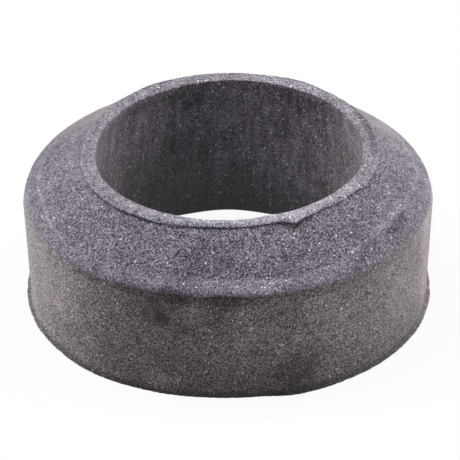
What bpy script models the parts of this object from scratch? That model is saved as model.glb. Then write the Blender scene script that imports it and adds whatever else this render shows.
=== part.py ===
"""Tank to bowl gasket: one ring of moulded sponge rubber.

It stands on the flat side that meets the tank, with the tapered nose that seats in
the bowl's inlet pointing up. Sizes are in metres and azimuths in degrees, counted
from +X towards +Y.
"""

import math

import bpy

MM = 0.001

# Driving sizes of the moulding
OUTER_DIAMETER = 88.9 * MM       # widest circle, near the top of the wall
TOTAL_HEIGHT = 35.3 * MM         # flat base to the top of the lip
NOSE_BORE_DIAMETER = 58.0 * MM   # bore at the lip
BASE_BORE_DIAMETER = 62.8 * MM   # bore at the flat base
BORE_OVAL = 0.4 * MM             # how far the bore is out of round
BORE_OVAL_AZIMUTH = 50.0         # direction of its long axis

# Wall, shoulder and cone
WALL_DRAFT = 1.0 * MM            # the wall narrows by this radius down to the base
WALL_OVAL = 0.5 * MM             # the widest circle is flatter by this at front and back
SHOULDER_DROP = 3.0 * MM         # arris of the shoulder down to the widest circle
SHOULDER_INSET = 0.7 * MM        # widest circle in to the arris
ARRIS_ROUND = 0.45 * MM          # worn width of the arris
SHELF_WIDTH = 2.8 * MM           # flatter band between the arris and the cone's crease
SHELF_SLOPE = math.radians(32.0)
CONE_SLOPE = math.radians(36.0)

# Thin lip that the mould's parting line leaves round the nose
LIP_WIDTH = 3.5 * MM
LIP_THICKNESS = 0.9 * MM
LIP_EDGE_ROUND = 0.3 * MM
UNDERCUT_DEPTH = 0.7 * MM        # how far the lip overhangs the cone
UNDERCUT_GAP = 0.3 * MM

# Skin of flash round the foot of the wall
FLASH_REACH = 0.9 * MM           # stands this far out from the wall's foot
FLASH_THICKNESS = 0.5 * MM

# Uneven edges: pairs of azimuth and change of radius in millimetres
LIP_EDGE = [
    (0, 0.2), (50, 0.2), (75, -0.1), (115, -0.35), (150, -0.8), (175, -0.7), (200, 0.2),
    (217, 0.4), (244, 0.1), (264, -1.3), (287, -1.5), (304, -0.9), (322, -0.8), (342, 0.2),
]
CREASE_EDGE = [
    (0, 0.0), (90, 0.0), (180, 0.4), (213, 1.0), (240, 0.2), (300, 0.4), (320, -1.2),
    (330, -2.0), (346, -1.2),
]
ARRIS_EDGE = [
    (0, 0.4), (60, 0.2), (120, 0.2), (180, 0.45), (233, 0.4), (245, -0.2), (268, -0.6),
    (288, -0.4), (305, 0.0), (333, 0.4),
]
FOOT_EDGE = [
    (0, 0.0), (25, 0.4), (52, 1.0), (90, 0.5), (128, 1.0), (155, 0.4), (180, 0.0), (205, 0.6),
    (230, 1.2), (250, 0.9), (265, 0.5), (277, 0.5), (290, 1.3), (312, 1.25), (335, 0.8),
    (350, 0.2),
]
FLASH_EDGE = [
    (0, 0.0), (52, -0.4), (90, -0.8), (128, -0.4), (180, 0.0), (200, -0.35), (228, -0.5),
    (250, -0.75), (277, -0.8), (290, -0.4), (312, -0.55), (335, -0.4), (350, -0.1),
]

# Torn tongues on the lip: azimuth, half width in degrees and reach in millimetres
LIP_TONGUES = [(294.5, 5.0, 1.6), (334, 7.0, 0.5), (22, 6.0, 0.25)]

# Where the lip hangs free of the cone (1) and where it is bonded to it (0)
LIP_FREE = [(20, 1.0), (130, 1.0), (152, 0.2), (190, 0.15), (205, 0.9), (340, 1.0), (0, 0.4)]

# Facets
AROUND = 144                     # steps around the ring, a multiple of four
BORE_STEPS = 3
CONE_STEPS = 3
WALL_STEPS = 3

OUTER_RADIUS = OUTER_DIAMETER / 2
NOSE_BORE_RADIUS = NOSE_BORE_DIAMETER / 2
BASE_BORE_RADIUS = BASE_BORE_DIAMETER / 2
WALL_FOOT_RADIUS = OUTER_RADIUS - WALL_DRAFT
LIP_RADIUS = NOSE_BORE_RADIUS + LIP_WIDTH
CONE_TOP_RADIUS = LIP_RADIUS - UNDERCUT_DEPTH
CONE_TOP_HEIGHT = TOTAL_HEIGHT - LIP_THICKNESS - UNDERCUT_GAP
ARRIS_RADIUS = OUTER_RADIUS - SHOULDER_INSET
CREASE_RADIUS = ARRIS_RADIUS - SHELF_WIDTH
CREASE_HEIGHT = CONE_TOP_HEIGHT - (CREASE_RADIUS - CONE_TOP_RADIUS) * math.tan(CONE_SLOPE)
ARRIS_HEIGHT = CREASE_HEIGHT - SHELF_WIDTH * math.tan(SHELF_SLOPE)
WIDEST_HEIGHT = ARRIS_HEIGHT - SHOULDER_DROP


def around_ring(azimuth, stations):
    """Value at an azimuth, eased between neighbouring stations round the whole ring."""
    ring = sorted(stations)
    ring = [(ring[-1][0] - 360, ring[-1][1])] + ring + [(ring[0][0] + 360, ring[0][1])]
    for (low, low_value), (high, high_value) in zip(ring, ring[1:]):
        if low <= azimuth < high:
            share = (azimuth - low) / (high - low)
            eased = share * share * (3 - 2 * share)
            return low_value + (high_value - low_value) * eased
    return ring[-1][1]


def tongues(azimuth):
    """Extra reach of the lip where the flash tore long, in metres."""
    reach = 0.0
    for centre, half_width, longest in LIP_TONGUES:
        away = abs((azimuth - centre + 180) % 360 - 180) / half_width
        if away < 1:
            reach += longest * MM * (1 + math.cos(math.pi * away)) / 2
    return reach


def between(start, end, steps):
    """Points that divide a straight run, without its end."""
    shares = [step / steps for step in range(steps)]
    return [
        (start[0] + (end[0] - start[0]) * share, start[1] + (end[1] - start[1]) * share)
        for share in shares
    ]


def bore_profile(azimuth):
    """The tapered bore, from the flat base up to the lip's inner edge."""
    oval = BORE_OVAL * math.cos(2 * math.radians(azimuth - BORE_OVAL_AZIMUTH))
    foot = (BASE_BORE_RADIUS + oval, 0.0)
    nose = (NOSE_BORE_RADIUS + oval, TOTAL_HEIGHT - LIP_EDGE_ROUND)
    return between(foot, nose, BORE_STEPS) + [nose]


def lip_profile(azimuth, inner_radius):
    """The lip's flat top, its thin edge and the undercut below it."""
    plain_edge = LIP_RADIUS + around_ring(azimuth, LIP_EDGE) * MM
    edge = plain_edge + tongues(azimuth)
    free = around_ring(azimuth, LIP_FREE)
    underside = TOTAL_HEIGHT - LIP_THICKNESS
    root = plain_edge - UNDERCUT_DEPTH * free
    return [
        (inner_radius + LIP_EDGE_ROUND, TOTAL_HEIGHT),
        (edge - LIP_EDGE_ROUND, TOTAL_HEIGHT),
        (edge, TOTAL_HEIGHT - LIP_EDGE_ROUND),
        (edge, underside + LIP_EDGE_ROUND * (1 - free)),
        (root, underside - UNDERCUT_GAP * (1 - free) / 2),
        (root, CONE_TOP_HEIGHT),
    ]


def cone_profile(azimuth, top):
    """The sloping seat from below the lip, over its crease and the shelf, down to the arris."""
    crease_radius = CREASE_RADIUS + around_ring(azimuth, CREASE_EDGE) * MM
    crease_height = CREASE_HEIGHT - (crease_radius - CREASE_RADIUS) * math.tan(CONE_SLOPE)
    crease = (crease_radius, crease_height)
    radius = ARRIS_RADIUS + around_ring(azimuth, ARRIS_EDGE) * MM
    height = crease_height - (radius - crease_radius) * math.tan(SHELF_SLOPE)
    inside = (radius - ARRIS_ROUND, height + ARRIS_ROUND * math.tan(SHELF_SLOPE))
    below = (radius + ARRIS_ROUND * 0.1, height - ARRIS_ROUND)
    return between(top, crease, CONE_STEPS)[1:] + [crease, inside, (radius, height), below]


def wall_profile(azimuth, top):
    """The drafted wall, from the arris over the widest circle to the foot."""
    flattening = WALL_OVAL * math.sin(math.radians(azimuth)) ** 2
    widest = (OUTER_RADIUS - flattening, WIDEST_HEIGHT)
    shoulder = (top[0] + (widest[0] - top[0]) * 0.7, (top[1] + widest[1]) / 2)
    foot = (WALL_FOOT_RADIUS + around_ring(azimuth, FOOT_EDGE) * MM, FLASH_THICKNESS * 2)
    return [shoulder] + between(widest, foot, WALL_STEPS) + [foot]


def flash_profile(azimuth, foot_radius):
    """The skin of flash that stands out round the foot."""
    reach = FLASH_REACH + around_ring(azimuth, FLASH_EDGE) * MM
    return [
        (foot_radius + reach * 0.1, FLASH_THICKNESS),
        (foot_radius + reach, FLASH_THICKNESS * 0.6),
        (foot_radius + reach, 0.0),
    ]


def ring_section(azimuth):
    """The whole section as pairs of radius and height, once round the material."""
    section = bore_profile(azimuth)
    section += lip_profile(azimuth, section[-1][0])
    section += cone_profile(azimuth, section[-1])
    section += wall_profile(azimuth, section[-1])
    section += flash_profile(azimuth, section[-1][0])
    return section


def loft_ring(name):
    """Carries the section round the axis and joins neighbouring sections with faces."""
    azimuths = [360 * step / AROUND for step in range(AROUND)]
    sections = [ring_section(azimuth) for azimuth in azimuths]
    count = len(sections[0])
    points = []
    for azimuth, section in zip(azimuths, sections):
        cosine = math.cos(math.radians(azimuth))
        sine = math.sin(math.radians(azimuth))
        points += [(radius * cosine, radius * sine, height) for radius, height in section]
    faces = []
    for here in range(AROUND):
        there = (here + 1) % AROUND
        for low in range(count):
            high = (low + 1) % count
            faces.append((
                here * count + low, here * count + high,
                there * count + high, there * count + low,
            ))
    mesh = bpy.data.meshes.new(name)
    mesh.from_pydata(points, [], faces)
    mesh.update()
    return mesh


def sponge_rubber():
    """Dark grey closed-cell sponge rubber with a dull moulded skin."""
    material = bpy.data.materials.new("sponge_rubber")
    material.use_nodes = True
    shader = material.node_tree.nodes["Principled BSDF"]
    shader.inputs["Base Color"].default_value = (0.105, 0.1, 0.11, 1.0)
    shader.inputs["Roughness"].default_value = 0.85
    shader.inputs["Metallic"].default_value = 0.0
    return material


def make_gasket():
    """The gasket as one closed solid, shaded smooth between its edges."""
    mesh = loft_ring("gasket")
    mesh.materials.append(sponge_rubber())
    mesh.shade_smooth()
    mesh.set_sharp_from_angle(angle=math.radians(28))
    gasket = bpy.data.objects.new("gasket", mesh)
    bpy.context.scene.collection.objects.link(gasket)
    return gasket


def clear_scene():
    for item in list(bpy.data.objects):
        bpy.data.objects.remove(item, do_unlink=True)


def main():
    clear_scene()
    make_gasket()


main()
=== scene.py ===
"""Looks of the tank to bowl gasket: one moulded ring of grey sponge rubber.

The ring is lofted once more, fine enough for its torn lip, grainy cone, worn arris and
ragged flash, and its rubber changes from zone to zone. Sizes are in metres and azimuths
in degrees, counted from +X towards +Y, so 270 faces the camera.
"""

import math

import bpy
import numpy as np
from mathutils import Matrix, Vector, noise


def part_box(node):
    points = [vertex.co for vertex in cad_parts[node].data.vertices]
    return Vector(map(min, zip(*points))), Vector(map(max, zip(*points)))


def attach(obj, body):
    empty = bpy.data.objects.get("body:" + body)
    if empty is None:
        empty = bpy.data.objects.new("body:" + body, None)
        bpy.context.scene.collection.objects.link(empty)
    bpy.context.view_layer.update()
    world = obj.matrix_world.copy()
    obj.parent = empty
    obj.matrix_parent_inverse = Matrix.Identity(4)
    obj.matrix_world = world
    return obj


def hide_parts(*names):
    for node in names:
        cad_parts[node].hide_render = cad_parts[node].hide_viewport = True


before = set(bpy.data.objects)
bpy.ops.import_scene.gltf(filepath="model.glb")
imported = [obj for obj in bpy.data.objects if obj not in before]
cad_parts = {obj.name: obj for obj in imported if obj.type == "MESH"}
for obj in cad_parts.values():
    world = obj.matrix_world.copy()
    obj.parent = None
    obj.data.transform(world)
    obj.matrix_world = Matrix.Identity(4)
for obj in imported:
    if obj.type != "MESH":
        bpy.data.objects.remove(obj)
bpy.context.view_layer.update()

MM = 0.001

# Sizes that the frame gives
FRAME_LOW, FRAME_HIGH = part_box("gasket")
OUTER_RADIUS = FRAME_HIGH.x
TOTAL_HEIGHT = FRAME_HIGH.z

# Bore
NOSE_BORE_RADIUS = 29.0 * MM
BASE_BORE_RADIUS = 31.15 * MM
BORE_OVAL = 0.4 * MM
BORE_OVAL_AZIMUTH = 50.0
BORE_FOOT_ROUND = 0.12 * MM

# Wall, shoulder and cone
WALL_DRAFT = 1.0 * MM
WALL_OVAL = 0.5 * MM
SHOULDER_DROP = 3.0 * MM
SHOULDER_INSET = 0.7 * MM
SHOULDER_FULLNESS = 0.7          # how near the widest circle its corner lies
ARRIS_ROUND = 1.1 * MM
SHELF_WIDTH = 2.8 * MM
SHELF_SLOPE = math.radians(32.0)
CONE_SLOPE = math.radians(36.0)
CREASE_BEAD = 0.16 * MM          # height of the thin ridge along the crease
GROOVE_DEPTH = 0.28 * MM         # the wall's step back beneath the arris
GROOVE_DROP = 0.35 * MM          # how far below the arris it lies
SKIN_ALLOWANCE = 0.08 * MM       # extra radius that the uneven skin takes back

# Lip
LIP_WIDTH = 3.5 * MM
LIP_THICKNESS = 0.9 * MM
LIP_INNER_ROUND = 0.3 * MM
UNDERCUT_DEPTH = 0.6 * MM
UNDERCUT_GAP = 0.1 * MM
CREVICE_WIDTH = 0.35 * MM        # strip of the cone that lies in the lip's shade
CREVICE_LEAST = 0.4              # share of its width where the lip is bonded
LIP_BRINK_DROP = 0.09 * MM       # the rolled edge turns down here
LIP_BRINK_SHARE = 0.25           # share of the roll that is left there
LIP_TEAR = 0.16 * MM             # raggedness of the edge
LIP_TEAR_SCALE = 1.6 * MM
TORN_WIDTH = 1.5 * MM            # torn strip along the edge at the right
TORN_DROP = 0.3 * MM

# Flash round the foot
FLASH_REACH = 0.9 * MM
FLASH_LEAST = 0.02 * MM
FLASH_THICKNESS = 0.5 * MM
FLASH_TIP = 0.6                  # share of the thickness that is left at the tip
FLASH_CROOK = 0.1                # share of the reach that is full thickness
FLASH_TEAR = 0.25 * MM           # raggedness of the edge
FLASH_TEAR_SCALE = 1.3 * MM

# Uneven edges: pairs of azimuth and change of radius in millimetres
BORE_NOSE_EDGE = [
    (0, 0.15), (12, 0.0), (24, -0.25), (45, -0.1), (60, -0.15), (84, -0.05), (108, -0.15),
    (120, -0.5), (132, -0.6), (144, -0.45), (156, -0.6), (180, -0.65), (195, -0.25), (204, 0.0),
    (246, -0.1), (278, 0.0), (287, -0.35), (294, 0.1), (304, 0.1), (312, 0.25), (324, 0.45),
    (336, 0.6), (346, 0.55),
]
BORE_FOOT_EDGE = [
    (40, 0.0), (62, -0.6), (74, -0.55), (90, 0.0), (106, -0.35), (125, -0.3), (150, 0.0),
]
LIP_EDGE = [
    (0, 0.2), (37, 0.25), (48, 0.0), (57, 0.65), (64, 0.6), (70, 0.35), (76, 0.05), (92, 0.05),
    (104, -0.1), (118, -0.15), (126, -0.3), (134, -0.75), (150, -0.8), (175, -0.7), (200, 0.2),
    (217, 0.4), (244, 0.1), (264, -1.3), (287, -1.5), (304, -0.9), (322, -0.8), (342, 0.2),
]
CREASE_EDGE = [
    (0, 0.0), (90, 0.0), (180, 0.0), (190, -0.2), (206, 0.75), (218, 1.6), (230, 1.3),
    (245, 0.3), (300, 0.4), (316, -1.0), (328, -1.8), (346, -1.3),
]
ARRIS_EDGE = [
    (0, 0.4), (25, 0.15), (60, -0.1), (120, -0.1), (155, 0.1), (180, 0.45), (233, 0.5),
    (245, 0.15), (262, -0.1), (268, -0.5), (275, -0.15), (288, 0.0), (305, 0.35), (333, 0.5),
]
FOOT_EDGE = [
    (0, 0.0), (25, 0.4), (52, 1.0), (90, 0.5), (128, 1.0), (155, 0.4), (180, 0.0), (205, 0.6),
    (230, 1.2), (250, 0.9), (265, 0.5), (277, 0.5), (290, 1.3), (312, 1.25), (335, 0.8),
    (350, 0.2),
]
FLASH_EDGE = [
    (0, 0.0), (52, -0.4), (90, -0.8), (128, -0.4), (180, 0.0), (200, -0.35), (228, -0.5),
    (250, -0.75), (277, -0.8), (290, -0.4), (312, -0.55), (335, -0.4), (350, -0.1),
]

# Torn tongues and notches of the lip: azimuth, half width in degrees, reach in millimetres
LIP_TONGUES = [
    (22, 6.0, 0.25), (226, 2.0, 0.2), (249, 6.0, -0.45), (262, 2.0, 0.2), (295.5, 5.5, 1.3),
    (299.0, 4.0, 0.3), (309.5, 6.0, -0.75), (321.0, 2.4, 0.3), (334, 7.0, 0.5),
]

# Where the lip hangs free of the cone (1) and where it is bonded to it (0); the same values set how
# strong the painted shade beneath it is
LIP_FREE = [
    (4, 1.0), (130, 1.0), (152, 0.2), (190, 0.15), (205, 1.3), (220, 1.8), (236, 1.3), (250, 0.5),
    (280, 0.45), (289, 0.6), (296, 2.6), (301, 1.8), (307, 0.8), (318, 1.2), (338, 2.0), (350, 1.3),
    (357, 0.6),
]

# Width in millimetres over which the lip's outer edge rolls down
LIP_ROLL = [(10, 0.5), (30, 0.2), (145, 0.2), (165, 2.0), (192, 2.0), (215, 1.1), (330, 1.1)]

# Strength of other features round the ring, of their shape and of the painted shade, highlight and
# sheen that go with them, and of the wall's darkening towards its foot
# how strong the painted shade below the bore's top is, round the ring
BORE_TOP_SHADE_ROUND = [
    (5, 0.0), (25, 1.0), (60, 0.7), (80, 0.2), (95, 0.2), (110, 1.0), (155, 1.2), (180, 0.0),
]
TORN_STRIP = [(352, 0.0), (358, 0.8), (4, 1.0), (24, 1.0), (34, 0.3), (48, 0.0)]
# where the cone's far side, seen at a grazing angle, has a painted sheen
FAR_CONE_PAINTED_SHEEN = [(14, 0.0), (30, 1.0), (150, 1.0), (165, 0.0)]
CREASE_RIDGE = [
    (120, 0.0), (160, 1.0), (215, 1.0), (238, 0.2), (288, 0.2), (302, 0.9), (318, 1.2), (15, 1.0),
    (50, 0.0),
]
ARRIS_GROOVE = [
    (190, 0.0), (218, 0.2), (234, 1.0), (262, 1.0), (269, 1.3), (285, 0.6), (325, 0.35), (345, 0.0),
]
WALL_FOOT = [(180, 0.0), (212, 0.2), (222, 0.4), (250, 0.5), (268, 1.1), (330, 1.2), (0, 0.5)]

# Points around the ring and along each stretch of its section
AROUND = 576
STEPS = {
    "base": 5, "bore_foot_shade": 3, "bore": 30, "lip_inner": 3, "lip_top": 6, "torn": 3, "lip_edge": 7,
    "under": 3, "crevice": 4, "cone": 34, "shelf": 7, "arris": 7, "groove": 7, "wall": 40,
    "flash": 3,
}
FOLD_POINT = STEPS["lip_inner"] + STEPS["lip_top"]
TORN_POINT = FOLD_POINT + 4      # middle of the torn strip
TORN_SPAN = 3.5                  # half its width, in points

# Unevenness of the skin: depth in millimetres at three scales, by stretch
SKIN_SCALES = (0.9, 3.2, 12.0)
SKIN_DEPTH = {
    "base": (0.02, 0.03, 0.02),
    "bore": (0.02, 0.04, 0.04),
    "lip": (0.07, 0.12, 0.05),
    "under": (0.05, 0.05, 0.0),
    "crevice": (0.05, 0.05, 0.0),
    "cone": (0.09, 0.10, 0.10),
    "shelf": (0.08, 0.10, 0.08),
    "groove": (0.05, 0.08, 0.05),
    "wall": (0.03, 0.05, 0.10),
    "flash": (0.04, 0.08, 0.0),
}

# Noise of the skin and of the torn edges
NOISE_GAIN = 0.6
TEAR_NOISE = (0.6, 2.0, 3)       # fall-off, step in scale and number of layers
LIP_SEED = 0.3
FLASH_SEED = 7.7
MARK_SEED = 5.0
SKIN_SEED = 11.0                 # times the number of the scale

# How strongly the grain shows, by stretch
GRAIN = {
    "base": 0.8, "bore": 0.65, "lip": 0.7, "under": 0.6, "crevice": 0.8, "cone": 0.95,
    "shelf": 0.75, "groove": 0.9, "wall": 1.06, "flash": 0.8,
}
FAR_CONE_GRAIN = -0.55             # change of it on the cone's far side, where the painted sheen hides it
FAR_CONE_WARMTH = 0.35             # share of the cone's bluish skin that gives way to the wall's warmer one under the painted sheen

# Stains (below 0) and pale rubs: azimuth, height (on the cone, radius), half width and half
# height in millimetres, strength; the cone's pale patches at 25 and 140 degrees are painted sheen
WALL_MARKS = [
    (212.0, 12.0, 5.0, 5.0, 0.3), (219.0, 1.5, 4.0, 1.5, -0.5), (219.0, 7.0, 4.0, 3.0, -0.5),
    (233.0, 9.4, 2.0, 0.8, -0.8), (236.0, 22.5, 3.0, 3.0, 0.6), (237.5, 8.3, 2.6, 0.8, -0.7),
    (245.0, 12.5, 5.4, 3.4, 0.2), (245.0, 20.0, 5.0, 2.5, -0.5), (248.9, 19.4, 2.2, 2.2, -0.9),
    (249.6, 20.6, 2.8, 2.6, -1.0), (250.0, 3.4, 2.6, 1.4, 0.4), (250.0, 18.6, 3.0, 2.6, -0.7),
    (251.0, 3.0, 4.0, 1.9, 0.6), (251.4, 18.0, 2.2, 1.6, -0.9), (252.4, 22.4, 5.5, 2.6, -0.8),
    (252.5, 18.3, 2.4, 1.5, -1.1), (253.0, 9.8, 3.6, 2.6, -0.5), (254.0, 23.5, 3.5, 2.5, -0.8),
    (257.4, 16.6, 2.6, 1.4, -1.2), (260.4, 20.8, 2.2, 2.8, 0.8), (262.0, 15.2, 2.4, 1.2, -1.0),
    (263.0, 22.4, 1.8, 1.4, 0.6), (263.5, 8.6, 3.6, 1.2, -0.6), (266.3, 20.4, 1.8, 2.6, -0.9),
    (267.5, 21.8, 4.0, 4.0, -0.9), (269.2, 22.6, 2.0, 1.8, -0.8), (270.2, 3.5, 2.4, 1.4, -0.6),
    (273.0, 21.0, 2.8, 3.2, 0.4), (273.7, 15.4, 2.6, 3.2, 0.8), (278.0, 11.2, 2.2, 2.4, -1.1),
    (285.0, 11.2, 1.9, 1.0, 0.7), (288.5, 5.8, 4.2, 5.4, -1.8), (288.8, 12.0, 1.8, 3.0, 0.5),
    (294.0, 21.5, 3.0, 1.4, 0.5), (296.3, 9.2, 2.2, 1.8, -0.7), (298.0, 17.0, 5.0, 4.0, 0.5),
    (325.0, 16.0, 3.0, 4.0, 0.4), (348.0, 1.2, 5.0, 1.6, -1.2),
]
CONE_MARKS = [
    (2.9, 38.5, 1.6, 1.4, -0.5), (25.0, 38.5, 6.0, 4.0, 0.6), (140.0, 38.0, 8.0, 7.0, 0.6),
    (159.0, 34.0, 3.5, 2.2, 0.7), (166.5, 35.5, 0.5, 4.0, 0.9), (180.0, 33.4, 7.0, 1.8, 0.35),
    (195.0, 33.6, 2.6, 0.9, 0.6), (229.0, 39.0, 5.0, 3.0, 0.35), (241.0, 36.3, 2.2, 2.0, -0.4),
    (250.1, 41.9, 2.2, 1.1, 0.7), (253.3, 34.6, 2.6, 3.2, 0.8), (253.5, 43.6, 3.0, 0.8, -0.9),
    (256.4, 37.2, 3.4, 2.6, -0.6), (264.5, 40.6, 2.5, 1.2, 0.6), (265.0, 32.0, 5.0, 1.0, 0.6),
    (266.0, 34.0, 5.0, 0.9, -0.5), (268.0, 40.0, 14.0, 2.6, -0.35), (268.4, 37.6, 2.0, 1.7, -0.8),
    (277.0, 36.0, 3.0, 1.0, 0.5), (287.5, 38.0, 4.0, 3.0, -0.5), (292.0, 40.6, 2.2, 1.0, -1.1),
    (305.0, 43.0, 3.0, 1.0, -0.5), (310.0, 41.9, 3.0, 0.8, -0.6), (315.0, 37.5, 9.0, 3.0, -0.4),
    (316.0, 42.6, 3.0, 1.2, -0.6), (318.0, 41.0, 3.0, 0.7, -0.6), (322.0, 35.5, 5.0, 3.0, -0.4),
    (325.2, 41.1, 2.2, 0.8, -1.1), (327.0, 39.4, 2.6, 1.0, 0.9), (332.3, 41.1, 3.0, 0.9, -1.5),
    (335.0, 39.2, 3.5, 0.8, 0.6), (353.0, 37.0, 6.0, 4.0, -0.45), (357.4, 42.1, 1.3, 0.8, -1.0),
]
BORE_MARKS = [
    (24.0, 26.0, 6.0, 7.0, -0.25), (38.0, 31.0, 4.0, 5.0, -0.7), (44.5, 33.6, 2.5, 2.0, -1.1),
    (50.0, 30.5, 3.0, 3.4, -0.6), (50.5, 27.5, 1.8, 3.0, 0.8), (57.0, 7.5, 5.0, 6.0, 1.0),
    (58.0, 33.0, 6.0, 2.2, -0.9), (61.5, 17.0, 2.2, 6.0, 0.8), (63.5, 31.0, 3.0, 3.5, -0.9),
    (64.4, 25.8, 0.9, 7.0, -0.7), (67.5, 27.5, 1.8, 3.0, 0.9), (76.4, 14.0, 1.0, 8.0, 0.9),
    (77.4, 18.8, 1.3, 2.2, 0.7), (85.0, 27.0, 8.0, 5.0, 0.35), (89.6, 30.6, 5.0, 4.0, 0.5),
    (93.2, 13.0, 1.2, 5.0, 0.5), (95.4, 22.6, 1.2, 2.0, 0.6), (99.6, 15.4, 2.2, 5.0, -1.0),
    (103.0, 31.0, 3.5, 3.0, -0.7), (108.0, 33.0, 4.4, 2.2, -0.8), (108.5, 25.1, 1.8, 2.8, 0.6),
    (112.5, 30.2, 3.0, 2.0, -1.1), (113.5, 16.0, 4.5, 5.0, -0.7), (114.5, 23.7, 1.0, 6.0, -0.8),
    (122.0, 32.5, 5.0, 2.6, -0.8), (133.0, 10.0, 3.5, 3.0, 0.5), (134.0, 33.5, 4.0, 2.0, -0.9),
    (137.0, 31.0, 4.0, 3.2, -0.6), (143.0, 14.0, 3.0, 4.0, 0.7), (147.0, 30.0, 3.0, 5.0, -0.7),
    (148.6, 21.0, 2.6, 9.0, 0.9), (160.0, 20.0, 3.0, 12.0, -0.5),
]
BORE_SPECKS = [
    (47.0, 24.1), (74.0, 13.3), (77.8, 19.1), (80.4, 33.5), (84.9, 31.7), (85.2, 8.6), (88.1, 11.3),
    (90.4, 2.1), (113.8, 28.2), (117.9, 10.6), (119.5, 6.0),
]
SPECK_SIZE = 0.3 * MM
SPECK_CORE = 0.4                 # share of a speck or grain of dust without its soft edge
MARK_REACH = 1.35                # where a mark ends, in its half widths
MARK_FADE = 0.9                  # width of its soft edge
MARK_WOBBLE = 1.4                # unevenness of that edge
MARK_WOBBLE_SCALE = 2.0

# Change of tone of whole zones: painted shade, highlight and sheen, and the wall darker towards its
# foot
# painted shade under the lip's edge and on the strip of cone below it
UNDER_LIP_SHADE = -1.8
# painted shade in the groove beneath the arris
GROOVE_SHADE = -0.75
# painted shade on the thin flash round the foot
FLASH_SHADE = -1.2
# painted highlight along the ridge of the crease
CREASE_HIGHLIGHT = 0.9
# painted sheen: the cone's far side made paler
FAR_CONE_SHEEN_TONE = 0.5
# painted shade along the torn strip of the lip and in the fold at its inner edge
TORN_SHADE = -2.0
FOLD_SHADE = -1.2
WALL_FOOT_TONE = -1.5
WALL_FOOT_TOP = 11.0 * MM        # height at which it has faded out
# painted shade: the bore darker towards its foot
BORE_FOOT_SHADE = -3.0
BORE_FOOT_TOP = 15.0 * MM
# painted shade: the bore darker just below its top
BORE_TOP_SHADE = -1.0
BORE_TOP_DEPTH = 4.0 * MM

# Drift of tone round the ring, partly the skin's own and partly painted light and shade: the paler
# front of the lip and of the shelf and the bright stretch of the wall near 344 to 353 degrees are
# painted light
LIP_TONE_AND_LIGHT = [
    (60, 0.0), (100, -0.1), (120, -0.45), (150, -0.35), (165, 0.1), (180, -0.1), (200, -0.2),
    (224, -0.25), (240, 0.1), (257, 0.75), (285, 0.7), (314, 0.55), (335, 0.0), (352, -0.3),
]
SHELF_TONE_AND_LIGHT = [
    (0, 0.3), (160, 0.3), (185, 0.5), (212, 0.6), (225, 0.3), (240, 0.3), (254, 0.6), (266, 1.2),
    (275, 1.5), (300, 0.9), (313, 0.0), (330, -0.4), (345, 0.0),
]
WALL_TONE_AND_LIGHT = [
    (60, 0.1), (190, 0.9), (205, 0.5), (220, 0.1), (237, -0.65), (265, -0.2), (298, 0.1),
    (312, -0.15), (325, 0.0), (336, 0.4), (344, 2.5), (353, 2.6), (20, 1.4),
]

# Patterns of the skin: cells to the millimetre, and how far each swings the tone
GRAIN_SCALE, GRAIN_SWING = 5.4, 4.6
CELL_SCALE, CELL_SWING = 5.6, 7.8
MOTTLE_SCALE, MOTTLE_SWING = 0.33, 2.2
CLOUD_SCALE, CLOUD_SWING = 0.08, 1.6
STREAK_SCALE, STREAK_SWING = 0.7, 4.8
STREAK_SQUEEZE = 0.18            # the streaks stand upright, this much drawn out
SPECK_TONE = 2.2
DUST_SCALE = 1.1
DUST_SIZE = 0.3
DUST_TONE = 4.5
DUST_LIMIT = 0.8                 # only cells with a chance above it hold a grain of dust
BORE_DUST_LIMIT = 0.55
TONE_STEP = 0.315                # brightness that one unit of tone adds
DARKEST = 0.1

# Skins: brightness, and what their tint adds to red, green and blue
WALL_LEVEL, WALL_TINT = 0.330, (0.045, 0.0, 0.020, 1)
CONE_LEVEL, CONE_TINT = 0.351, (0.032, 0.0, 0.066, 1)
LIP_LEVEL, LIP_TINT = 0.468, (0.024, 0.0, 0.062, 1)
BORE_LEVEL, BORE_TINT = 0.348, (0.026, 0.0, 0.048, 1)
SCREEN_GAMMA = 2.2

# Dull bloom and fine relief
WALL_ROUGHNESS, CONE_ROUGHNESS = 0.45, 0.6
ROUGHNESS_SWING = 0.3
WALL_SHEEN, CONE_SHEEN = 0.8, 0.35
SHEEN_TINT = (1.0, 0.9, 0.91, 1)
SHEEN_ROUGHNESS = 0.4
RELIEF_STRENGTH = 0.8
RELIEF_HEIGHT = 0.2 * MM
CELL_RELIEF = 0.35

LIP_RADIUS = NOSE_BORE_RADIUS + LIP_WIDTH
CONE_TOP_RADIUS = LIP_RADIUS - UNDERCUT_DEPTH
CONE_TOP_HEIGHT = TOTAL_HEIGHT - LIP_THICKNESS - UNDERCUT_GAP
ARRIS_RADIUS = OUTER_RADIUS - SHOULDER_INSET
CREASE_RADIUS = ARRIS_RADIUS - SHELF_WIDTH
CREASE_HEIGHT = CONE_TOP_HEIGHT - (CREASE_RADIUS - CONE_TOP_RADIUS) * math.tan(CONE_SLOPE)
ARRIS_HEIGHT = CREASE_HEIGHT - SHELF_WIDTH * math.tan(SHELF_SLOPE)
WIDEST_HEIGHT = ARRIS_HEIGHT - SHOULDER_DROP
FOOT_RADIUS = OUTER_RADIUS - WALL_DRAFT

AZIMUTHS = np.arange(AROUND) * 360 / AROUND
TURNS = np.radians(AZIMUTHS)

# Camera
VIEW_ELEVATION = math.radians(32.22)
VIEW_DISTANCE = 20 * OUTER_RADIUS
VIEW_HEIGHT = 0.3208 * OUTER_RADIUS
VIEW_RIGHT = 0.375 * MM          # the view's centre lies off the axis by this
VIEW_ROLL = math.radians(-0.355)
LENS = 318.4
SENSOR = 36.0

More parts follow.
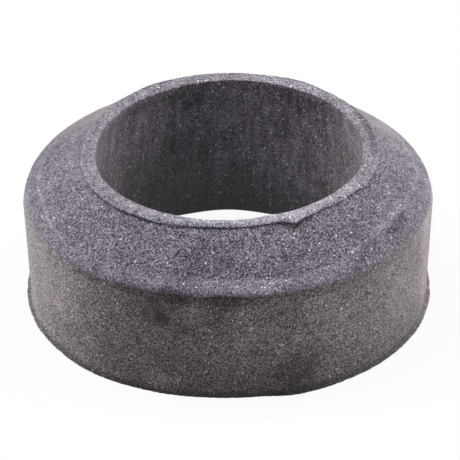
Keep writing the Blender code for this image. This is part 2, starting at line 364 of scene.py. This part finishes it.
# Lamps: name, azimuth, elevation and watts
LAMPS = [
    ("overhead", 90, 89, 4.0),
    ("right_side", 0, 12, 4.9),
    ("right_rear", 30, 12, 6.7),
    ("left_rear", 150, 12, 4.95),
    ("left_high", 180, 45, 4.4),
]
LAMP_DISTANCE = 0.9
LAMP_SIZE = 0.7
STUDIO_LEVEL = 0.04

# Floor
FLOOR_SIZE = 6.0
FLOOR_DROP = 0.2 * MM
FLOOR_WHITE = (0.95, 0.95, 0.95, 1)
FLOOR_GREY = (0.5, 0.5, 0.5, 1)  # its colour for the light that it throws back
FLOOR_GLOW = 0.92
FLOOR_SHINE = 0.7                # how much of the glow glossy surfaces mirror
WHITE = (1, 1, 1, 1)


def around_ring(pairs):
    """Value at each azimuth, eased between neighbouring stations round the whole ring."""
    ring = sorted(pairs)
    ring = [(ring[-1][0] - 360, ring[-1][1])] + ring + [(ring[0][0] + 360, ring[0][1])]
    values = np.zeros(AROUND)
    for (low, low_value), (high, high_value) in zip(ring, ring[1:]):
        inside = (AZIMUTHS >= low) & (AZIMUTHS < high)
        share = (AZIMUTHS[inside] - low) / (high - low)
        values[inside] = low_value + (high_value - low_value) * share**2 * (3 - 2 * share)
    return values


def all_round(value):
    """The same value at each azimuth."""
    return np.full(AROUND, value)


def turn_between(first, second):
    """Smallest angle from the second azimuth to the first, in degrees."""
    return (first - second + 180) % 360 - 180


def tongues():
    """Reach of the torn tongues and notches at each azimuth, in metres."""
    reach = np.zeros(AROUND)
    for centre, half_width, longest in LIP_TONGUES:
        away = np.clip(np.abs(turn_between(AZIMUTHS, centre)) / half_width, 0, 1)
        reach += longest * MM * (1 + np.cos(np.pi * away)) / 2
    return reach


def ragged(radius, scale, depth, seed):
    """Uneven torn edge: a small change of radius at each azimuth."""
    tear = []
    for turn in TURNS:
        place = Vector((radius * math.cos(turn), radius * math.sin(turn), seed))
        tear.append(noise.fractal(place / scale, *TEAR_NOISE))
    return np.array(tear) * depth


def run(start, end, steps):
    """Points that divide a straight stretch of the section, without its end."""
    return [
        tuple(low + (high - low) * step / steps for low, high in zip(start, end))
        for step in range(steps)
    ]


def bend(start, corner, end, steps):
    """Points along a rounded corner of the section, without its end."""
    points = []
    for step in range(steps):
        share = step / steps
        weights = ((1 - share) ** 2, 2 * share * (1 - share), share**2)
        points.append(tuple(
            sum(weight * value for weight, value in zip(weights, values))
            for values in zip(start, corner, end)
        ))
    return points


def raised(point, rise):
    """The same point of the section, higher by the rise."""
    return point[0], point[1] + rise


def bore_stretch():
    """The tapered bore, from its slightly rounded foot to the lip's inner edge."""
    oval = BORE_OVAL * np.cos(2 * (TURNS - math.radians(BORE_OVAL_AZIMUTH)))
    foot_radius = BASE_BORE_RADIUS + around_ring(BORE_FOOT_EDGE) * MM
    nose_radius = NOSE_BORE_RADIUS + oval + around_ring(BORE_NOSE_EDGE) * MM
    corner = (foot_radius, all_round(0.0))
    foot_in = (foot_radius + BORE_FOOT_ROUND, corner[1])
    foot_up = raised(corner, BORE_FOOT_ROUND)
    nose = (nose_radius, all_round(TOTAL_HEIGHT - LIP_INNER_ROUND))
    points = bend(foot_in, corner, foot_up, STEPS["bore_foot_shade"])
    return points + run(foot_up, nose, STEPS["bore"]), nose


def lip_stretch(nose):
    """The lip's top and torn edge, its underside, and the cone's top below it."""
    top = all_round(TOTAL_HEIGHT)
    plain_edge = LIP_RADIUS + around_ring(LIP_EDGE) * MM
    edge = plain_edge + tongues() + ragged(LIP_RADIUS, LIP_TEAR_SCALE, LIP_TEAR, LIP_SEED)
    roll = around_ring(LIP_ROLL) * MM
    drop = TORN_DROP * around_ring(TORN_STRIP)
    free = around_ring(LIP_FREE)
    inner = (nose[0] + LIP_INNER_ROUND, top)
    fold = (edge - TORN_WIDTH, top)
    brow = (edge - roll, top - drop)
    brink = (edge - LIP_BRINK_SHARE * roll, top - LIP_BRINK_DROP - drop)
    edge_foot = (edge, top - LIP_THICKNESS)
    root = plain_edge - UNDERCUT_DEPTH * free
    root_top = (root, top - LIP_THICKNESS - UNDERCUT_GAP * (1 - free) / 2)
    root_foot = (root, all_round(CONE_TOP_HEIGHT))
    points = bend(nose, (nose[0], top), inner, STEPS["lip_inner"])
    points += run(inner, fold, STEPS["lip_top"])
    points += run(fold, brow, STEPS["torn"])
    points += bend(brow, brink, edge_foot, STEPS["lip_edge"]) + [edge_foot]
    under = run(edge_foot, root_top, STEPS["under"])[1:] + [root_top]
    return points, under, root_foot


def cone_stretch(top):
    """The cone from below the lip, over its crease and the shelf, down past the arris."""
    crease_radius = CREASE_RADIUS + around_ring(CREASE_EDGE) * MM
    crease_height = CREASE_HEIGHT - (crease_radius - CREASE_RADIUS) * math.tan(CONE_SLOPE)
    crease = (crease_radius, crease_height)
    radius = ARRIS_RADIUS + around_ring(ARRIS_EDGE) * MM
    height = crease_height - (radius - crease_radius) * math.tan(SHELF_SLOPE)
    inside = (radius - ARRIS_ROUND, height + ARRIS_ROUND * math.tan(SHELF_SLOPE))
    below = (radius, height - ARRIS_ROUND)
    slope = (crease_height - top[1]) / (crease_radius - top[0])
    shaded = CREVICE_WIDTH * np.maximum(around_ring(LIP_FREE), CREVICE_LEAST)
    shade_end = (top[0] + shaded, top[1] + shaded * slope)
    crevice = run(top, shade_end, STEPS["crevice"])
    cone = run(shade_end, crease, STEPS["cone"])
    shelf = run(crease, inside, STEPS["shelf"])
    shelf += bend(inside, (radius, height), below, STEPS["arris"])
    bead = CREASE_BEAD * around_ring(CREASE_RIDGE)
    cone[-1] = raised(cone[-1], bead / 2)
    shelf[0] = raised(shelf[0], bead)
    shelf[1] = raised(shelf[1], bead / 2)
    return crevice, cone, shelf, below


def wall_stretch(below):
    """The wall, from the groove beneath the arris over the widest circle to the foot."""
    flattening = WALL_OVAL * np.sin(TURNS) ** 2
    widest = (OUTER_RADIUS + SKIN_ALLOWANCE - flattening, all_round(WIDEST_HEIGHT))
    step_back = GROOVE_DEPTH * around_ring(ARRIS_GROOVE)
    groove = (below[0] - step_back, below[1] - GROOVE_DROP)
    corner = below[0] + (widest[0] - below[0]) * SHOULDER_FULLNESS
    shoulder = (corner, (below[1] + widest[1]) / 2)
    foot = (FOOT_RADIUS + around_ring(FOOT_EDGE) * MM, all_round(2 * FLASH_THICKNESS))
    points = [below] + bend(groove, shoulder, widest, STEPS["groove"])
    return points, run(widest, foot, STEPS["wall"]), foot


def flash_stretch(foot):
    """The ragged skin of flash round the foot, and the toe that it stands on."""
    reach = FLASH_REACH + around_ring(FLASH_EDGE) * MM
    tear = np.abs(ragged(OUTER_RADIUS, FLASH_TEAR_SCALE, FLASH_TEAR, FLASH_SEED))
    edge = foot[0] + np.maximum(reach - tear, FLASH_LEAST)
    crook = (foot[0] + reach * FLASH_CROOK, all_round(FLASH_THICKNESS))
    tip = (edge, all_round(FLASH_TIP * FLASH_THICKNESS))
    toe = (edge, all_round(0.0))
    return [foot, crook] + run(tip, toe, STEPS["flash"]), toe


def whole_section():
    """The section's points, each a pair of arrays over the azimuths, and their stretch."""
    bore, nose = bore_stretch()
    lip, under, root = lip_stretch(nose)
    crevice, cone, shelf, below = cone_stretch(root)
    groove, wall, foot = wall_stretch(below)
    flash, toe = flash_stretch(foot)
    base = run(toe, bore[0], STEPS["base"])
    stretches = {
        "bore": bore, "lip": lip, "under": under, "crevice": crevice, "cone": cone,
        "shelf": shelf, "groove": groove, "wall": wall, "flash": flash, "base": base,
    }
    points = [point for stretch in stretches.values() for point in stretch]
    names = [name for name, stretch in stretches.items() for _ in stretch]
    return points, names


def grid_normals(places):
    """Outward normals of the ring's grid of points."""
    around = np.roll(places, -1, 0) - np.roll(places, 1, 0)
    along = np.roll(places, -1, 1) - np.roll(places, 1, 1)
    normals = np.cross(along, around)
    return normals / np.linalg.norm(normals, axis=2, keepdims=True)


def unevenness(places, scale, seed):
    """Smooth noise from 0 to 1 at each point, with its scale in millimetres."""
    shifted = places.reshape(-1, 3) / (scale * MM) + seed
    values = np.array([noise.noise(Vector(place)) for place in shifted])
    return np.clip(values.reshape(places.shape[:2]) * NOISE_GAIN + 0.5, 0, 1)


def uneven_skin(places, names):
    """Presses the skin in a little, never out, so that the ring keeps its size."""
    depths = np.array([SKIN_DEPTH[name] for name in names]) * MM
    pressed = np.zeros(places.shape[:2])
    for layer, scale in enumerate(SKIN_SCALES):
        pressed += unevenness(places, scale, SKIN_SEED * layer) * depths[:, layer]
    return places - grid_normals(places) * pressed[..., None]


def soft_mask(names, *wanted):
    """One for the points of the wanted stretches, eased over the neighbouring points."""
    mask = np.array([float(name in wanted) for name in names])
    return (mask + np.roll(mask, 1) + np.roll(mask, -1)) / 3


def line_mask(names, name, after=0, width=1.0):
    """One on the line where a stretch begins, or some points after it, fading to both sides."""
    away = np.arange(len(names)) - names.index(name) - after
    return np.exp(-(away / width) ** 2)


def spread(pairs, mask):
    """Strength round the ring times a mask across it, at each point."""
    return around_ring(pairs)[:, None] * mask


def marks_on(places, marks, across, wobble):
    """Sum of the stains and rubs, whose edges follow the wobble."""
    azimuth = np.degrees(np.arctan2(places[..., 1], places[..., 0]))
    radius = np.hypot(places[..., 0], places[..., 1])
    total = np.zeros(radius.shape)
    for centre, middle, half_width, half_height, strength in marks:
        sideways = np.radians(turn_between(azimuth, centre)) * radius / (half_width * MM)
        upright = (across - middle * MM) / (half_height * MM)
        away = np.hypot(sideways, upright) + (wobble - 0.5) * MARK_WOBBLE
        share = np.clip((MARK_REACH - away) / MARK_FADE, 0, 1)
        total += strength * share**2 * (3 - 2 * share)
    return total


def tone_of(places, names):
    """How much darker or paler than its zone's own skin each point is, from stains, rubs and
    painted light and shade.
    """
    radius = np.hypot(places[..., 0], places[..., 1])
    height = places[..., 2]
    wobble = unevenness(places, MARK_WOBBLE_SCALE, MARK_SEED)
    wall = soft_mask(names, "groove", "wall", "flash")
    cone = soft_mask(names, "cone", "shelf")
    bore = soft_mask(names, "bore")
    tone = marks_on(places, WALL_MARKS, height, wobble) * wall
    tone += marks_on(places, CONE_MARKS, radius, wobble) * cone
    tone += marks_on(places, BORE_MARKS, height, wobble) * bore
    # painted shade under the lip and in the crevice below it
    tone += UNDER_LIP_SHADE * spread(LIP_FREE, soft_mask(names, "under", "crevice"))
    # painted shade along the torn strip and in its fold
    tone += TORN_SHADE * spread(TORN_STRIP, line_mask(names, "lip", TORN_POINT, TORN_SPAN))
    tone += FOLD_SHADE * spread(TORN_STRIP, line_mask(names, "lip", FOLD_POINT))
    # painted sheen on the cone's far side
    tone += FAR_CONE_SHEEN_TONE * spread(FAR_CONE_PAINTED_SHEEN, cone)
    # painted highlight along the ridge of the crease
    tone += CREASE_HIGHLIGHT * spread(CREASE_RIDGE, line_mask(names, "shelf"))
    # painted shade in the groove beneath the arris
    tone += GROOVE_SHADE * spread(ARRIS_GROOVE, soft_mask(names, "groove"))
    # painted shade on the flash round the foot
    tone += FLASH_SHADE * soft_mask(names, "flash")
    # drift of the skin's tone together with painted light and shade, on the lip, the shelf and the
    # wall
    tone += spread(LIP_TONE_AND_LIGHT, soft_mask(names, "lip"))
    tone += spread(SHELF_TONE_AND_LIGHT, soft_mask(names, "shelf"))
    tone += spread(WALL_TONE_AND_LIGHT, wall)
    wall_foot = np.clip(1 - height / WALL_FOOT_TOP, 0, 1)
    bore_foot_shade = np.clip(1 - height / BORE_FOOT_TOP, 0, 1)
    bore_top_shade = np.clip(1 - (TOTAL_HEIGHT - height) / BORE_TOP_DEPTH, 0, 1)
    tone += WALL_FOOT_TONE * spread(WALL_FOOT, wall_foot * wall)
    # painted shade at the bore's foot
    tone += BORE_FOOT_SHADE * bore_foot_shade * bore
    # painted shade below the bore's top
    tone += BORE_TOP_SHADE * spread(BORE_TOP_SHADE_ROUND, bore_top_shade * bore)
    return tone


def grain_of(names):
    """Strength of the grain at each point."""
    strength = np.array([GRAIN[name] for name in names])
    return strength * (1 + FAR_CONE_GRAIN * spread(FAR_CONE_PAINTED_SHEEN, soft_mask(names, "cone", "shelf")))


def write_attribute(mesh, name, values):
    """Keeps a value for each point, either one for all azimuths or one for each of them."""
    every = np.ones((AROUND, 1)) * values
    attribute = mesh.attributes.new(name, "FLOAT", "POINT")
    attribute.data.foreach_set("value", np.ascontiguousarray(every, np.float32).ravel())


def ring_places(points):
    """The section's points carried round the axis: azimuths by points by x, y and z."""
    radius = np.stack([point[0] for point in points], 1)
    height = np.stack([point[1] for point in points], 1)
    across = radius * np.cos(TURNS)[:, None]
    along = radius * np.sin(TURNS)[:, None]
    return np.stack([across, along, height], 2)


def ring_faces(count):
    """Corners of the faces between neighbouring sections of so many points."""
    here, low = np.meshgrid(np.arange(AROUND), np.arange(count), indexing="ij")
    there, high = (here + 1) % AROUND, (low + 1) % count
    corners = [here * count + low, here * count + high, there * count + high, there * count + low]
    return np.stack(corners, 2).reshape(-1, 4).tolist()


def make_ring():
    """The ring's fine mesh, with its zones and tones as attributes."""
    points, names = whole_section()
    places = uneven_skin(ring_places(points), names)
    places = np.clip(places, FRAME_LOW, FRAME_HIGH)
    mesh = bpy.data.meshes.new("sponge_ring")
    mesh.from_pydata(places.reshape(-1, 3).tolist(), [], ring_faces(len(points)))
    mesh.update()
    mesh.shade_smooth()
    cone = soft_mask(names, "under", "crevice", "cone", "shelf")
    write_attribute(mesh, "lip", soft_mask(names, "lip"))
    # the cone's skin turns warmer under its painted sheen
    write_attribute(mesh, "cone", (1 - FAR_CONE_WARMTH * around_ring(FAR_CONE_PAINTED_SHEEN)[:, None]) * cone)
    write_attribute(mesh, "bore", soft_mask(names, "bore"))
    write_attribute(mesh, "tone", tone_of(places, names))
    write_attribute(mesh, "grain", grain_of(names))
    ring = bpy.data.objects.new("sponge_ring", mesh)
    bpy.context.scene.collection.objects.link(ring)
    return ring


def add(tree, kind, inputs=None, **settings):
    """A node's outputs; its inputs are values or other nodes' sockets."""
    made = tree.nodes.new(kind)
    for name, value in settings.items():
        setattr(made, name, value)
    for key, value in (inputs or {}).items():
        if isinstance(value, bpy.types.NodeSocket):
            tree.links.new(value, made.inputs[key])
        else:
            made.inputs[key].default_value = value
    return made.outputs


def calculate(tree, operation, first, second):
    """Result of one operation on two values or sockets."""
    return add(tree, "ShaderNodeMath", {0: first, 1: second}, operation=operation)[0]


def sum_of(tree, *values):
    """All the values or sockets added up."""
    total = values[0]
    for value in values[1:]:
        total = calculate(tree, "ADD", total, value)
    return total


def product(tree, first, second):
    """Two values or sockets multiplied."""
    return calculate(tree, "MULTIPLY", first, second)


def swing(tree, value, size):
    """A noise value turned into a swing of the given size about zero."""
    return product(tree, sum_of(tree, value, -0.5), size)


def scaled(tree, place, upright=1.0):
    """The place in millimetres, with its height drawn out where upright is less than 1."""
    scale = (1 / MM, 1 / MM, upright / MM)
    return add(tree, "ShaderNodeMapping", {"Vector": place, "Scale": scale})[0]


def noise_value(tree, place, scale, detail=2.0, roughness=0.5):
    """Smooth noise between 0 and 1."""
    inputs = {"Vector": place, "Scale": scale, "Detail": detail, "Roughness": roughness}
    return add(tree, "ShaderNodeTexNoise", inputs)["Fac"]


def cells_of(tree, place, scale):
    """Cells of a random value each, and the distance to the nearest cell's centre."""
    cells = add(tree, "ShaderNodeTexVoronoi", {"Vector": place, "Scale": scale})
    values = add(tree, "ShaderNodeSeparateColor", {0: cells["Color"]})
    return values, cells["Distance"]


def zone(tree, name):
    """The ring's attribute of that name."""
    return add(tree, "ShaderNodeAttribute", attribute_name=name)["Fac"]


def blend(tree, share, first, second):
    """Mix of two colours."""
    inputs = {0: share, 6: first, 7: second}
    return add(tree, "ShaderNodeMix", inputs, data_type="RGBA")[2]


def blend_value(tree, share, first, second):
    """Mix of two values."""
    inputs = {0: share, 2: first, 3: second}
    return add(tree, "ShaderNodeMix", inputs, data_type="FLOAT")[0]


def near(tree, away, edge):
    """One within a soft edge's distance and nothing beyond it."""
    core = edge * SPECK_CORE
    inputs = {"Value": away, "From Min": core, "From Max": edge, "To Min": 1.0, "To Max": 0.0}
    return add(tree, "ShaderNodeMapRange", inputs)[0]


def dust(tree, in_mm, bore):
    """Sparse tiny pale grains, most of them in the bore."""
    values, away = cells_of(tree, in_mm, DUST_SCALE)
    limit = blend_value(tree, bore, DUST_LIMIT, BORE_DUST_LIMIT)
    chosen = calculate(tree, "GREATER_THAN", values[1], limit)
    return product(tree, near(tree, away, DUST_SIZE), chosen)


def bore_specks(tree, place):
    """Pale specks stuck to the bore."""
    total = 0.0
    for azimuth, height in BORE_SPECKS:
        turn = math.radians(azimuth)
        share = height * MM / TOTAL_HEIGHT
        radius = BASE_BORE_RADIUS + (NOSE_BORE_RADIUS - BASE_BORE_RADIUS) * share
        centre = (radius * math.cos(turn), radius * math.sin(turn), height * MM)
        inputs = {0: place, 1: centre}
        away = add(tree, "ShaderNodeVectorMath", inputs, operation="DISTANCE")["Value"]
        total = sum_of(tree, near(tree, away, SPECK_SIZE), total)
    return total


def brightness(tree, place, fine, mottle):
    """How bright the skin is beside its zone's level, from its grain, marks, dust and painted light
    and shade.
    """
    in_mm = scaled(tree, place)
    bore = zone(tree, "bore")
    cloud = noise_value(tree, in_mm, CLOUD_SCALE)
    upright = scaled(tree, place, STREAK_SQUEEZE)
    streak = noise_value(tree, upright, STREAK_SCALE, detail=3.0, roughness=0.6)
    tone = sum_of(
        tree,
        product(tree, fine, zone(tree, "grain")),
        swing(tree, mottle, MOTTLE_SWING),
        swing(tree, cloud, CLOUD_SWING),
        product(tree, swing(tree, streak, STREAK_SWING), bore),
        zone(tree, "tone"),
        product(tree, bore_specks(tree, place), SPECK_TONE),
        product(tree, dust(tree, in_mm, bore), DUST_TONE),
    )
    return calculate(tree, "MAXIMUM", sum_of(tree, product(tree, tone, TONE_STEP), 1.0), DARKEST)


def skin_colour(tree, bright):
    """Browner wall, bluish cone, pale lip and bluish bore, at the given brightness."""
    level, tint = WALL_LEVEL, WALL_TINT
    skins = (
        ("cone", CONE_LEVEL, CONE_TINT), ("lip", LIP_LEVEL, LIP_TINT),
        ("bore", BORE_LEVEL, BORE_TINT),
    )
    for name, own_level, own_tint in skins:
        share = zone(tree, name)
        level = blend_value(tree, share, level, own_level)
        tint = blend(tree, share, tint, own_tint)
    shade = product(tree, bright, level)
    shade = add(tree, "ShaderNodeVectorMath", {0: tint, 1: shade}, operation="ADD")[0]
    return add(tree, "ShaderNodeGamma", {"Color": shade, "Gamma": SCREEN_GAMMA})[0]


def sponge_rubber():
    """Grey closed-cell rubber with a sandy grain and a dull bloom."""
    material = bpy.data.materials.new("sponge_rubber")
    material.use_nodes = True
    tree = material.node_tree
    shader = tree.nodes["Principled BSDF"]
    place = add(tree, "ShaderNodeTexCoord")["Object"]
    in_mm = scaled(tree, place)
    cone = zone(tree, "cone")
    grain = noise_value(tree, in_mm, GRAIN_SCALE, roughness=0.6)
    cells = cells_of(tree, in_mm, CELL_SCALE)[0][0]
    mottle = noise_value(tree, in_mm, MOTTLE_SCALE, detail=3.0)
    fine = sum_of(tree, swing(tree, grain, GRAIN_SWING), swing(tree, cells, CELL_SWING))
    bright = brightness(tree, place, fine, mottle)
    roughness = sum_of(
        tree,
        blend_value(tree, cone, WALL_ROUGHNESS, CONE_ROUGHNESS),
        swing(tree, mottle, ROUGHNESS_SWING),
    )
    sheen = product(tree, blend_value(tree, cone, WALL_SHEEN, CONE_SHEEN), bright)
    relief = sum_of(tree, grain, product(tree, cells, CELL_RELIEF))
    bump = {"Strength": RELIEF_STRENGTH, "Distance": RELIEF_HEIGHT, "Height": relief}
    tree.links.new(skin_colour(tree, bright), shader.inputs["Base Color"])
    tree.links.new(roughness, shader.inputs["Roughness"])
    tree.links.new(sheen, shader.inputs["Sheen Weight"])
    tree.links.new(add(tree, "ShaderNodeBump", bump)[0], shader.inputs["Normal"])
    shader.inputs["Sheen Tint"].default_value = SHEEN_TINT
    shader.inputs["Sheen Roughness"].default_value = SHEEN_ROUGHNESS
    return material


def floor_white():
    """White to the eye and grey to the light, and still showing a soft shadow."""
    material = bpy.data.materials.new("floor_white")
    material.use_nodes = True
    tree = material.node_tree
    tree.nodes.clear()
    path = add(tree, "ShaderNodeLightPath")
    mirrored = product(tree, path["Is Glossy Ray"], FLOOR_SHINE)
    seen = calculate(tree, "MAXIMUM", path["Is Camera Ray"], mirrored)
    seen = calculate(tree, "MAXIMUM", seen, path["Is Transmission Ray"])
    paint = blend(tree, path["Is Camera Ray"], FLOOR_GREY, FLOOR_WHITE)
    dull = add(tree, "ShaderNodeBsdfDiffuse", {"Color": paint})[0]
    glow = add(tree, "ShaderNodeEmission", {"Color": WHITE, "Strength": 1.0})[0]
    inputs = {0: product(tree, seen, FLOOR_GLOW), 1: dull, 2: glow}
    mixed = add(tree, "ShaderNodeMixShader", inputs)[0]
    add(tree, "ShaderNodeOutputMaterial", {"Surface": mixed})
    return material


def make_floor():
    """Wide plain floor under the ring."""
    bpy.ops.mesh.primitive_plane_add(size=FLOOR_SIZE, location=(0, 0, -FLOOR_DROP))
    floor = bpy.context.object
    floor.name = "floor"
    floor.data.materials.append(floor_white())


def make_world():
    """White studio round the ring, faint as a light."""
    world = bpy.data.worlds.new("studio")
    world.use_nodes = True
    bpy.context.scene.world = world
    tree = world.node_tree
    tree.nodes.clear()
    seen = add(tree, "ShaderNodeLightPath")["Is Camera Ray"]
    strength = blend_value(tree, seen, STUDIO_LEVEL, 1.0)
    white = add(tree, "ShaderNodeBackground", {"Color": WHITE, "Strength": strength})[0]
    add(tree, "ShaderNodeOutputWorld", {"Surface": white})


def make_lamp(name, azimuth, elevation, watts):
    """Square soft lamp that faces the ring."""
    lamp = bpy.data.lights.new(name, "AREA")
    lamp.size = LAMP_SIZE
    lamp.energy = watts
    turn = math.radians(azimuth)
    rise = math.radians(elevation)
    level = math.cos(rise)
    towards = Vector((math.cos(turn) * level, math.sin(turn) * level, math.sin(rise)))
    holder = bpy.data.objects.new(name, lamp)
    holder.location = towards * LAMP_DISTANCE
    holder.rotation_euler = towards.to_track_quat("Z", "Y").to_euler()
    bpy.context.scene.collection.objects.link(holder)


def make_camera():
    """Camera in front of the ring that looks down on it, rolled by a trace."""
    camera = bpy.data.cameras.new("camera")
    camera.lens = LENS
    camera.sensor_width = SENSOR
    camera.clip_start = 10 * MM
    holder = bpy.data.objects.new("camera", camera)
    back = Vector((0, -math.cos(VIEW_ELEVATION), math.sin(VIEW_ELEVATION)))
    aim = Vector((VIEW_RIGHT, 0, VIEW_HEIGHT))
    holder.location = aim + back * VIEW_DISTANCE
    level = back.to_track_quat("Z", "Y").to_matrix()
    holder.rotation_euler = (level @ Matrix.Rotation(VIEW_ROLL, 3, "Z")).to_euler()
    bpy.context.scene.collection.objects.link(holder)
    bpy.context.scene.camera = holder


ring = make_ring()
ring.data.materials.append(sponge_rubber())
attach(ring, "root")
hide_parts("gasket")
make_floor()
make_world()
for lamp in LAMPS:
    make_lamp(*lamp)
make_camera()
bpy.context.scene.view_settings.view_transform = "Standard"
